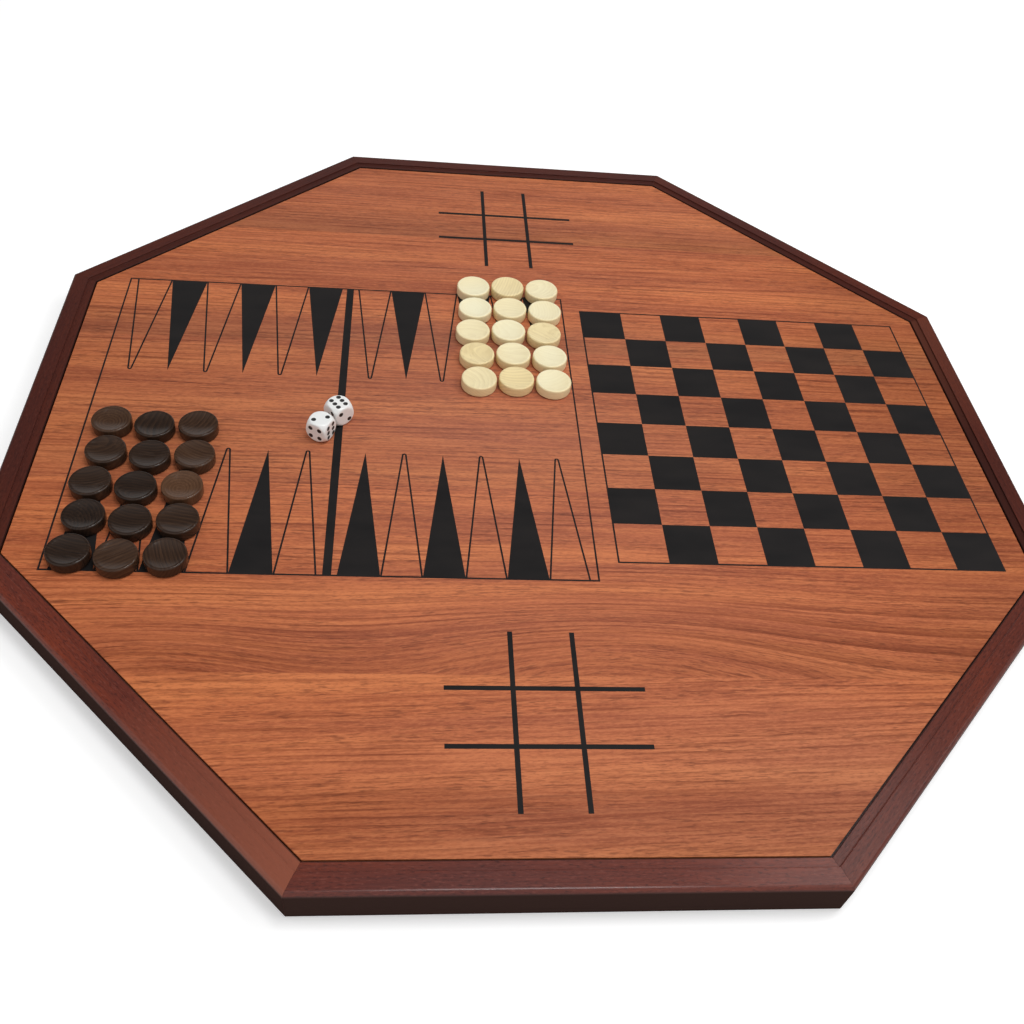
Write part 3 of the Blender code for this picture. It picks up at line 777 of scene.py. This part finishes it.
# Playing field. The crokinole side is a round of varnished birch plywood glued under the panel. The
# twenty hole is bored through its middle, and its scoring lines are screened on in black.
FIELD_STEPS = 160
FIELD_EASE = 0.0007
HOLE_RADIUS = 0.01565
WELD = 0.000002
field_low, field_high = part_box("playing_field")


def turned(profile, steps):
    """Spin an outline of radius and height round the upright axis."""
    bm = bmesh.new()
    rim = [bm.verts.new((radius, 0.0, height)) for radius, height in profile]
    edges = [bm.edges.new(pair) for pair in zip(rim, rim[1:])]
    bmesh.ops.spin(bm, geom=rim + edges, cent=(0, 0, 0), axis=(0, 0, 1), angle=math.tau, steps=steps)
    bmesh.ops.remove_doubles(bm, verts=bm.verts, dist=WELD)
    bmesh.ops.recalc_face_normals(bm, faces=bm.faces)
    return bm


def varnished_birch():
    """Pale birch face veneer under a warm gloss varnish."""
    material, tree, shader = new_finish("varnished_birch", 0.28, 0.45)
    place = add_node(tree, "ShaderNodeTexCoord").outputs["Object"]
    rings, streaks, pores, _ = place_figure(tree, place, 0.021, 5.0)
    colour = ramp(
        tree,
        rings,
        ((0.0, (0.66, 0.44, 0.235)), (0.8, (0.58, 0.365, 0.18)), (1.0, (0.50, 0.30, 0.14))),
    )
    colour = blended(tree, arithmetic(tree, "MULTIPLY", streaks, 0.3), colour, (0.48, 0.28, 0.13, 1.0))
    colour = blended(tree, arithmetic(tree, "MULTIPLY", pores, 0.35), colour, (0.30, 0.16, 0.07, 1.0))
    feed(tree, shader.inputs["Base Color"], colour)
    raise_grain(tree, shader, arithmetic(tree, "MULTIPLY", pores, -1.0), 0.00003)
    return material


field_radius = field_high.x
field = turned(
    [
        (HOLE_RADIUS, field_high.z),
        (field_radius - FIELD_EASE, field_high.z),
        *quarter((field_radius - FIELD_EASE, field_high.z - FIELD_EASE), FIELD_EASE, 90, 0, 4)[1:],
        *quarter((field_radius - FIELD_EASE, field_low.z + FIELD_EASE), FIELD_EASE, 0, -90, 4),
        (HOLE_RADIUS + FIELD_EASE, field_low.z),
        (HOLE_RADIUS, field_low.z + FIELD_EASE),
        (HOLE_RADIUS, field_high.z),
    ],
    FIELD_STEPS,
)
finish_piece(field, "field_round", varnished_birch(), "board", ["playing_field"])

RING_STEP = 0.0923
RINGS = 3
RING_LINE = 0.0016
field_lines = bmesh.new()
for ring in range(1, RINGS + 1):
    turns = np.linspace(0.0, math.tau, FIELD_STEPS, endpoint=False)
    circle = [Vector((math.cos(t), math.sin(t))) * RING_STEP * ring for t in turns]
    ribbon(field_lines, circle, RING_LINE, closed=True)
for quarter_line in range(4):
    bearing = (quarter_line + 0.5) * math.pi / 2
    heading = Vector((math.cos(bearing), math.sin(bearing)))
    ends = (RING_STEP * 2 + RING_LINE / 2, RING_STEP * 3 - RING_LINE / 2)
    ribbon(field_lines, [heading * ends[0], heading * ends[1]], RING_LINE)
bmesh.ops.recalc_face_normals(field_lines, faces=field_lines.faces)
bmesh.ops.translate(field_lines, verts=field_lines.verts, vec=(0.0, 0.0, field_low.z - INK_HIGH + INK_SUNK))
finish_piece(field_lines, "field_lines", ink, "board")


# Pegs. Eight short wooden pins in black rubber sleeves stand round the fifteen circle, pressed into holes
# in the field, and are shorter than the rails so that the board can lie either way up.
PEGS = 8
PEG_RING = RING_STEP
PEG_RADIUS = 0.0045
PEG_END = 0.0012
PEG_STAND = 0.0001
SLEEVE_BORE = 0.45
PIN_SHARE = 0.40
PIN_SUNK = (0.0006, 0.0007)
PEG_STEPS = 32
peg_low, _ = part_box("peg_1")


def rubber_sleeve():
    """Black rubber with a dull bloom."""
    material, tree, shader = new_finish("rubber_sleeve", 0.62, 0.35)
    place = add_node(tree, "ShaderNodeTexCoord").outputs["Object"]
    bloom_and_painted_sheen = noise(tree, place, scale=420.0, detail=3.0)
    colour = blended(tree, bloom_and_painted_sheen, (0.016, 0.015, 0.014, 1.0), (0.040, 0.037, 0.034, 1.0))
    feed(tree, shader.inputs["Base Color"], colour)
    return material


peg = turned(
    [
        (0.0, field_low.z - PEG_STAND),
        (PEG_RADIUS, field_low.z - PEG_STAND),
        *quarter((PEG_RADIUS - PEG_END, peg_low.z + PEG_END), PEG_END, 0, -90, 6),
        (PEG_RADIUS * SLEEVE_BORE, peg_low.z),
        (PEG_RADIUS * PIN_SHARE, peg_low.z + PIN_SUNK[0]),
        (0.0, peg_low.z + PIN_SUNK[1]),
    ],
    PEG_STEPS,
)
sleeve = rubber_sleeve()
peg_sizes = {"Pegs": PEGS, "Ring": PEG_RING, "Peg": stamp(peg, "peg_shape"), "Sleeve": sleeve}
tree, sizes = new_tree("peg_ring", **peg_sizes)
ring = add_node(tree, "GeometryNodeMeshCircle")
feed(tree, ring.inputs["Vertices"], sizes["Pegs"])
feed(tree, ring.inputs["Radius"], sizes["Ring"])
shape = add_node(tree, "GeometryNodeObjectInfo")
feed(tree, shape.inputs["Object"], sizes["Peg"])
laid = add_node(tree, "GeometryNodeInstanceOnPoints")
feed(tree, laid.inputs["Points"], ring.outputs[0])
feed(tree, laid.inputs["Instance"], shape.outputs["Geometry"])
close_tree(tree, laid.outputs[0], sizes["Sleeve"])
pegs = grown(tree, peg_sizes, "peg_set")
pegs.transform(Matrix.Rotation(math.pi / PEGS, 4, "Z"))
mount_piece(pegs, "peg_set", sleeve, "board", [f"peg_{i}" for i in range(1, PEGS + 1)])


# Checkers. Fifteen pale and fifteen dark men, turned from two woods with a shallow dish in each face and
# a rounded rim, then lacquered. Each was cut from its own bit of timber, so its figure and tone differ.
CHECKER_ROUND = 0.0011
CHECKER_DISH = 0.0018
DISH_CURVE = 0.9
DISH_POINTS = 14
CHECKER_RIM = 0.0017
CHECKER_BULGE = 0.00012
CHECKER_STEPS = 72
CUT_TILT = 1.5
PITH_AWAY = (0.004, 0.05)
PITH_ASIDE = 0.01
PITH_ON_FACE = (0.0015, 0.0025)


def checker_profile(radius, height):
    """A checker's outline from the middle of its top to the middle of its bottom."""
    inside = radius - CHECKER_RIM
    side = radius - CHECKER_BULGE
    shares = np.linspace(0.0, 1.0, DISH_POINTS)
    dish = [(inside * s, height - CHECKER_DISH * (1 - s * s) ** DISH_CURVE) for s in shares]
    corner = quarter((side - CHECKER_ROUND, height - CHECKER_ROUND), CHECKER_ROUND, 90, 0, 8)
    upper = [*dish, *corner]
    lower = [(across, height - up) for across, up in reversed(upper)]
    return [*upper, (radius, height / 2), *lower]


def turned_wood(name, pale, deep, line, roughness, specular, line_share, cloud, painted_slope_shading):
    """Lacquered turned wood cut through at each man's own angle, with painted shading where the faces slope:
    shade on the pale men, light on the dark men.
    """
    material, tree, shader = new_finish(name, roughness, specular)
    cut = add_node(tree, "ShaderNodeAttribute", attribute_name="cut").outputs["Vector"]
    tone = add_node(tree, "ShaderNodeAttribute", attribute_name="tone").outputs["Fac"]
    parts = add_node(tree, "ShaderNodeSeparateXYZ")
    feed(tree, parts.inputs[0], cut)
    from_pith = add_node(tree, "ShaderNodeVectorMath", operation="LENGTH")
    feed(tree, from_pith.inputs[0], stretched(tree, cut, (1.0, 1.0, 0.0)))
    grain = add_node(tree, "ShaderNodeCombineXYZ")
    feed(tree, grain.inputs["X"], parts.outputs["Z"])
    feed(tree, grain.inputs["Y"], from_pith.outputs["Value"])
    feed(tree, grain.inputs["Z"], parts.outputs["X"])
    rings, streaks, pores, drift = place_figure(tree, grain.outputs[0], 0.0021, 1.1)
    colour = blended(tree, tone, pale, deep)
    colour = blended(tree, ranged(tree, drift, 0.40, 0.70, 0.0, cloud, smooth=True), colour, deep)
    flat = arithmetic(tree, "ABSOLUTE", upward(tree))
    # Painted shading: where a face slopes, at the dish's edge, the rim and the side, the colour moves to the
    # deep tone, which is painted shade on the pale men and painted light on the dark men.
    colour = blended(tree, ranged(tree, flat, 0.91, 0.995, painted_slope_shading, 0.0), colour, deep)
    share = ranged(tree, tone, 0.0, 1.0, line_share * 0.6, line_share * 3.4)
    for mark, strength in ((ranged(tree, rings, 0.3, 1.0), 1.0), (streaks, 0.6), (pores, 1.0)):
        seen = arithmetic(tree, "MULTIPLY", arithmetic(tree, "MULTIPLY", mark, share), strength)
        colour = blended(tree, seen, colour, line)
    feed(tree, shader.inputs["Base Color"], colour)
    raise_grain(tree, shader, arithmetic(tree, "MULTIPLY", pores, -1.0), 0.00003)
    return material


def checker_mesh(node, tone, draw, end_grain):
    """One man where its solid stands, with its own cut of the timber stored on it."""
    low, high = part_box(node)
    middle = (low + high) / 2
    bm = turned(checker_profile((high.x - low.x) / 2, high.z - low.z), CHECKER_STEPS)
    mesh = bpy.data.meshes.new(node)
    bm.to_mesh(mesh)
    bm.free()
    tilt = Euler([draw.uniform(-CUT_TILT, CUT_TILT) for _ in range(3)]).to_matrix()
    away = draw.uniform(*PITH_AWAY)
    pith = Vector((away, draw.uniform(-PITH_ASIDE, PITH_ASIDE), draw.uniform(0.0, 1.0)))
    if end_grain:
        tilt = Matrix.Identity(3)
        pith.xy = PITH_ON_FACE
    places = [tilt @ vertex.co + pith for vertex in mesh.vertices]
    mesh.attributes.new("cut", "FLOAT_VECTOR", "POINT").data.foreach_set("vector", np.ravel(places))
    mesh.attributes.new("tone", "FLOAT", "POINT").data.foreach_set("value", [tone] * len(places))
    mesh.transform(Matrix.Translation((middle.x, middle.y, low.z)))
    return mesh


def set_out(colour, tones, wood, seed, end_grain=()):
    """Dress every man of one colour; a few were cut across the grain and show whole rings."""
    draw = random.Random(seed)
    for number, tone in enumerate(tones, start=1):
        node = f"{colour}_checker_{number:02d}"
        mesh = checker_mesh(node, tone, draw, number in end_grain)
        mount_piece(mesh, f"{colour}_man_{number:02d}", wood, node, [node])


ivory_wood = turned_wood(
    "ivory_wood",
    pale=(0.96, 0.90, 0.64, 1.0),
    deep=(0.92, 0.74, 0.390, 1.0),
    line=(0.58, 0.43, 0.20, 1.0),
    roughness=0.38,
    specular=0.4,
    line_share=0.09,
    cloud=0.50,
    painted_slope_shading=0.45,
)
set_out(
    "light",
    (0.05, 0.75, 0.30, 0.0, 0.10, 0.15, 0.20, 0.10, 0.75, 0.85, 0.20, 0.12, 0.55, 0.85, 0.05),
    ivory_wood,
    seed=11,
)
ebony_wood = turned_wood(
    "ebony_wood",
    pale=(0.0125, 0.0085, 0.007, 1.0),
    deep=(0.085, 0.039, 0.020, 1.0),
    line=(0.150, 0.076, 0.040, 1.0),
    roughness=0.17,
    specular=0.26,
    line_share=0.13,
    cloud=0.04,
    painted_slope_shading=0.09,
)
set_out(
    "dark",
    (0.42, 0.06, 0.24, 0.18, 0.06, 0.38, 0.10, 0.02, 0.85, 0.02, 0.08, 0.15, 0.02, 0.30, 0.16),
    ebony_wood,
    seed=5,
    end_grain=(1, 9),
)


# Dice. Two white dice, moulded and tumbled until their corners are round, with drilled pips filled with
# black paint.
DIE_SIZE = 0.016
DIE_BALL = 0.0108
DIE_SOFT = 0.0009
DIE_CUTS = 63
PIP_OFFSET = 0.0035
PIP_RADIUS = 0.0017
SIX_ROW = 0.88
SIX_STEP = 1.2
PIP_DEPTH = 0.0004
PIP_EDGE = 0.00008
DIE_AXES = {
    "+x": ((1, 0, 0), (0, -1, 0), (0, 0, 1)),
    "-x": ((-1, 0, 0), (0, -1, 0), (0, 0, 1)),
    "+y": ((0, 1, 0), (1, 0, 0), (0, 0, 1)),
    "-y": ((0, -1, 0), (1, 0, 0), (0, 0, 1)),
    "+z": ((0, 0, 1), (0, 1, 0), (1, 0, 0)),
    "-z": ((0, 0, -1), (0, 1, 0), (1, 0, 0)),
}


def pip_spots(count):
    """Where a face's pips go, in steps of the pip offset."""
    if count == 6:
        return [(row, step) for row in (-SIX_ROW, SIX_ROW) for step in (-SIX_STEP, 0, SIX_STEP)]
    spots = [(0, 0)] if count % 2 else []
    if count >= 2:
        spots += [(-1, -1), (1, 1)]
    if count >= 4:
        spots += [(-1, 1), (1, -1)]
    return spots


def die_mesh(name, faces, turn):
    """A rounded cube with dished pips, and each point's distance to the nearest pip."""
    low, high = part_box(name)
    bm = bmesh.new()
    bmesh.ops.create_cube(bm, size=DIE_SIZE)
    bmesh.ops.subdivide_edges(bm, edges=bm.edges, cuts=DIE_CUTS, use_grid_fill=True)
    mesh = bpy.data.meshes.new(name)
    bm.to_mesh(mesh)
    bm.free()
    flat = np.zeros(len(mesh.vertices) * 3)
    mesh.vertices.foreach_get("co", flat)
    cube = flat.reshape(-1, 3)
    reach = np.linalg.norm(cube, axis=1)
    gap = np.clip(0.5 + 0.5 * (reach - DIE_BALL) / DIE_SOFT, 0.0, 1.0)
    kept = reach * (1 - gap) + DIE_BALL * gap - DIE_SOFT * gap * (1 - gap)
    shape = cube * (kept / reach)[:, None]
    nearest = np.full(len(cube), DIE_SIZE)
    sunk = shape.copy()
    for side, count in faces.items():
        out, along, up = (np.array(axis, float) for axis in DIE_AXES[side])
        on_face = cube @ out > DIE_SIZE / 2 - 1e-6
        for a, b in pip_spots(count):
            offset = np.stack([shape @ along - a * PIP_OFFSET, shape @ up - b * PIP_OFFSET], axis=1)
            distance = np.where(on_face, np.linalg.norm(offset, axis=1), DIE_SIZE)
            nearest = np.minimum(nearest, distance)
            bowl = PIP_DEPTH * np.clip(1 - (distance / PIP_RADIUS) ** 2, 0.0, 1.0)
            sunk -= bowl[:, None] * out
    mesh.vertices.foreach_set("co", sunk.ravel())
    mesh.attributes.new("pip", "FLOAT", "POINT").data.foreach_set("value", nearest)
    middle = (low + high) / 2
    mesh.transform(Matrix.Translation(middle) @ Matrix.Rotation(math.radians(turn), 4, "Z"))
    return mesh


def dice_plastic():
    """Polished white plastic, black where a pip was painted."""
    material, tree, shader = new_finish("dice_plastic", 0.22, 0.5)
    pip = add_node(tree, "ShaderNodeAttribute", attribute_name="pip").outputs["Fac"]
    paint = ranged(tree, pip, PIP_RADIUS - PIP_EDGE, PIP_RADIUS + PIP_EDGE, 1.0, 0.0)
    place = add_node(tree, "ShaderNodeTexCoord").outputs["Object"]
    cloud = noise(tree, place, scale=160.0)
    white = blended(tree, cloud, (0.88, 0.89, 0.88, 1.0), (0.93, 0.93, 0.91, 1.0))
    feed(tree, shader.inputs["Base Color"], blended(tree, paint, white, (0.012, 0.011, 0.011, 1.0)))
    feed(tree, shader.inputs["Roughness"], ranged(tree, paint, 0.0, 1.0, 0.22, 0.45))
    return material


dice_white = dice_plastic()
for name, turn, faces in (
    ("die_front", -27.7, {"+x": 6, "-x": 1, "+y": 3, "-y": 4, "+z": 2, "-z": 5}),
    ("die_back", -51.2, {"+x": 2, "-x": 5, "+y": 4, "-y": 3, "+z": 6, "-z": 1}),
):
    mount_piece(die_mesh(name, faces, turn), f"{name}_body", dice_white, name, [name])


# Studio. A pale floor, left open under the board so that its underside has light too, in a room that is
# dim at the back above a bright low wall. One lamp hangs overhead, two windows stand to the right, and
# the camera is where the player stood.
FLOOR_SIZE = 30.0
FLOOR_HOLE = 0.356
FLOOR_DROP = 0.0003
FLOOR_GLOW = 0.32
WORLD_LIGHT = 0.72
BACK_WALL_LIGHT = 0.12
BACK_WALL_EDGE = (0.15, 0.65)
LOW_WALL_LIGHT = 0.75
LOW_WALL_EDGE = (0.76, 0.88)


def studio_floor():
    """Near-white floor that keeps the shadow and can be seen through from below."""
    material = bpy.data.materials.new("studio_floor")
    material.use_nodes = True
    tree = material.node_tree
    tree.nodes.clear()
    matt = add_node(tree, "ShaderNodeBsdfDiffuse")
    matt.inputs["Color"].default_value = (0.9, 0.9, 0.9, 1.0)
    glow = add_node(tree, "ShaderNodeEmission")
    sight = add_node(tree, "ShaderNodeLightPath")
    seen = arithmetic(tree, "MAXIMUM", sight.outputs["Is Camera Ray"], sight.outputs["Is Transmission Ray"])
    feed(tree, glow.inputs["Strength"], arithmetic(tree, "MULTIPLY", seen, FLOOR_GLOW))
    lit = add_node(tree, "ShaderNodeAddShader")
    feed(tree, lit.inputs[0], matt.outputs[0])
    feed(tree, lit.inputs[1], glow.outputs[0])
    clear = add_node(tree, "ShaderNodeBsdfTransparent")
    sided = add_node(tree, "ShaderNodeMixShader")
    feed(tree, sided.inputs[0], add_node(tree, "ShaderNodeNewGeometry").outputs["Backfacing"])
    feed(tree, sided.inputs[1], lit.outputs[0])
    feed(tree, sided.inputs[2], clear.outputs[0])
    feed(tree, add_node(tree, "ShaderNodeOutputMaterial").inputs["Surface"], sided.outputs[0])
    return material


ground = bmesh.new()
floor_corners = np.arange(0.5, SIDES) * 2 * HALF_TURN
inside, outside = [
    [ground.verts.new((reach * math.cos(t), reach * math.sin(t), 0.0)) for t in floor_corners]
    for reach in (FLOOR_HOLE / math.cos(HALF_TURN), FLOOR_SIZE / 2)
]
for k in range(SIDES):
    ground.faces.new((inside[k - 1], outside[k - 1], outside[k], inside[k]))
ground_mesh = bpy.data.meshes.new("studio_floor")
ground.to_mesh(ground_mesh)
ground.free()
ground_mesh.materials.append(studio_floor())
floor = bpy.data.objects.new("studio_floor", ground_mesh)
floor.location.z = -FLOOR_DROP
bpy.context.scene.collection.objects.link(floor)

world = bpy.data.worlds.new("studio")
world.use_nodes = True
bpy.context.scene.world = world
sky = world.node_tree
sky.nodes.clear()
ambient = add_node(sky, "ShaderNodeBackground")
sight = add_node(sky, "ShaderNodeLightPath")
seen = arithmetic(sky, "MAXIMUM", sight.outputs["Is Camera Ray"], sight.outputs["Is Transmission Ray"])
heading = add_node(sky, "ShaderNodeSeparateXYZ")
feed(sky, heading.inputs[0], add_node(sky, "ShaderNodeTexCoord").outputs["Generated"])
room = ranged(sky, heading.outputs["Y"], *BACK_WALL_EDGE, WORLD_LIGHT, BACK_WALL_LIGHT, smooth=True)
low_wall = ranged(sky, heading.outputs["Y"], *LOW_WALL_EDGE, 0.0, LOW_WALL_LIGHT, smooth=True)
room = arithmetic(sky, "ADD", room, low_wall)
white = arithmetic(sky, "SUBTRACT", 1.0, room)
feed(sky, ambient.inputs["Strength"], arithmetic(sky, "MULTIPLY_ADD", seen, white, room))
feed(sky, add_node(sky, "ShaderNodeOutputWorld").inputs["Surface"], ambient.outputs[0])


def softbox(name, place, aim, width, height, power):
    """A rectangular lamp pointed at a spot."""
    lamp = bpy.data.lights.new(name, "AREA")
    lamp.shape = "RECTANGLE"
    lamp.size = width
    lamp.size_y = height
    lamp.energy = power
    holder = bpy.data.objects.new(name, lamp)
    holder.location = place
    holder.rotation_euler = (Vector(aim) - Vector(place)).to_track_quat("-Z", "Y").to_euler()
    bpy.context.scene.collection.objects.link(holder)


softbox("overhead", (0.25, -0.05, 2.0), (0.0, 0.0, 0.0), width=0.6, height=0.6, power=12.5)
softbox("side_window", (1.45, -0.45, 1.7), (0.0, -0.2, 0.0), width=1.9, height=0.6, power=6.0)
softbox("back_window", (0.95, 0.30, 1.7), (0.0, 0.0, 0.0), width=0.5, height=0.5, power=4.5)

CAMERA_LENS = 36.86
CAMERA_SENSOR = 36.0
CAMERA_PLACE = (-0.0966, -0.5716, 0.5223 + panel_top)
CAMERA_TURN = (42.459, -5.653, -3.038)
eye = bpy.data.cameras.new("player_view")
eye.lens = CAMERA_LENS
eye.sensor_width = CAMERA_SENSOR
camera = bpy.data.objects.new("player_view", eye)
camera.location = CAMERA_PLACE
camera.rotation_euler = [math.radians(angle) for angle in CAMERA_TURN]
bpy.context.scene.collection.objects.link(camera)
bpy.context.scene.camera = camera
bpy.context.scene.view_settings.view_transform = "Standard"
